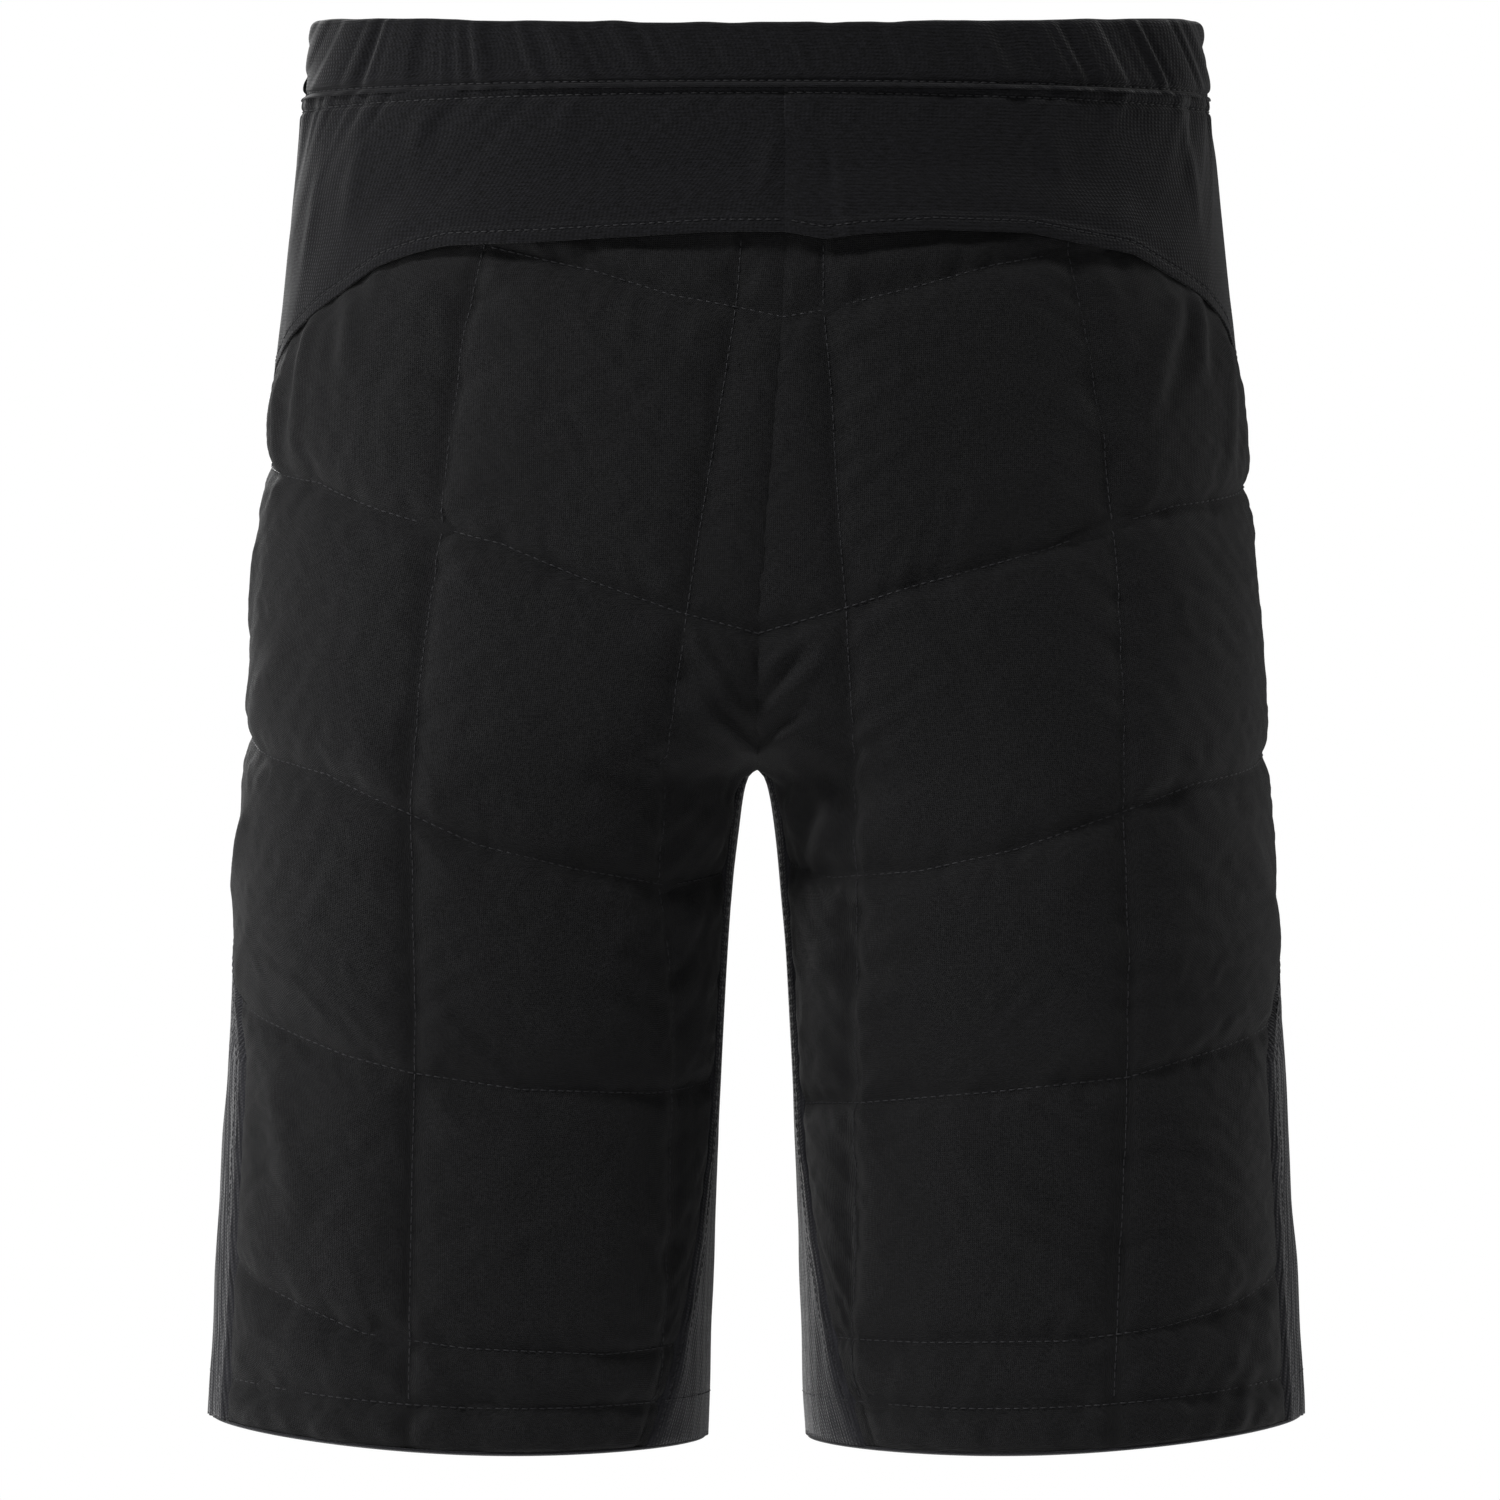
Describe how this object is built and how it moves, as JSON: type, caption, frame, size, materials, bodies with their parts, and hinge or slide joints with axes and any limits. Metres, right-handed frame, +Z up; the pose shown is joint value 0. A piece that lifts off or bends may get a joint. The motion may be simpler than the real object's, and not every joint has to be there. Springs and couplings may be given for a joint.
{
  "type": "quilted insulated shorts",
  "caption": "Knee-length quilted insulated shorts with an elastic waistband, knitted yoke and knitted side and inner-leg inserts.",
  "frame": {"origin": "centre of the waist opening, in the plane of the waistband's top edge", "axes": "+Z up along the body, -Y out of the front, +X to the wearer's left"},
  "size_m": [0.458, 0.2354, 0.5961],
  "materials": {
    "shell_fabric": "matte",
    "padding": "matte",
    "lining": "matte",
    "jersey": "matte",
    "elastic": "matte",
    "label": "satin",
    "thread": "satin"
  },
  "bodies": {
    "hips": {"back_lining_hip_left": "lining", "back_lining_hip_right": "lining", "back_padding_hip_left": "padding", "back_padding_hip_right": "padding", "back_shell_hip_left": "shell_fabric", "back_shell_hip_right": "shell_fabric", "front_lining_hip_left": "lining", "front_lining_hip_right": "lining", "front_padding_hip_left": "padding", "front_padding_hip_right": "padding", "front_shell_hip_left": "shell_fabric", "front_shell_hip_right": "shell_fabric", "inner_insert_hip_left": "jersey", "inner_insert_hip_right": "jersey", "side_insert_hip_left": "jersey", "side_insert_hip_right": "jersey", "waist_elastic": "elastic", "waist_label": "label", "waistband_casing_back": "jersey", "waistband_casing_front": "jersey", "yoke_back_left": "jersey", "yoke_back_right": "jersey", "yoke_front_left": "jersey", "yoke_front_right": "jersey"},
    "left_leg": {"back_lining_leg_left": "lining", "back_padding_leg_left": "padding", "back_shell_leg_left": "shell_fabric", "front_lining_leg_left": "lining", "front_padding_leg_left": "padding", "front_shell_leg_left": "shell_fabric", "hem_facing_left": "jersey", "inner_insert_leg_left": "jersey", "side_insert_leg_left": "jersey"},
    "right_leg": {"back_lining_leg_right": "lining", "back_padding_leg_right": "padding", "back_shell_leg_right": "shell_fabric", "front_lining_leg_right": "lining", "front_padding_leg_right": "padding", "front_shell_leg_right": "shell_fabric", "hem_facing_right": "jersey", "inner_insert_leg_right": "jersey", "side_insert_leg_right": "jersey"}
  },
  "joints": [
    {"name": "left_leg_swing", "type": "hinge", "parent": "hips", "child": "left_leg", "pos_m": [0.107, 0, -0.314], "axis": [-1, 0, 0], "range_deg": [-20, 60]},
    {"name": "right_leg_swing", "type": "hinge", "parent": "hips", "child": "right_leg", "pos_m": [-0.107, 0, -0.314], "axis": [-1, 0, 0], "range_deg": [-20, 60]}
  ]
}
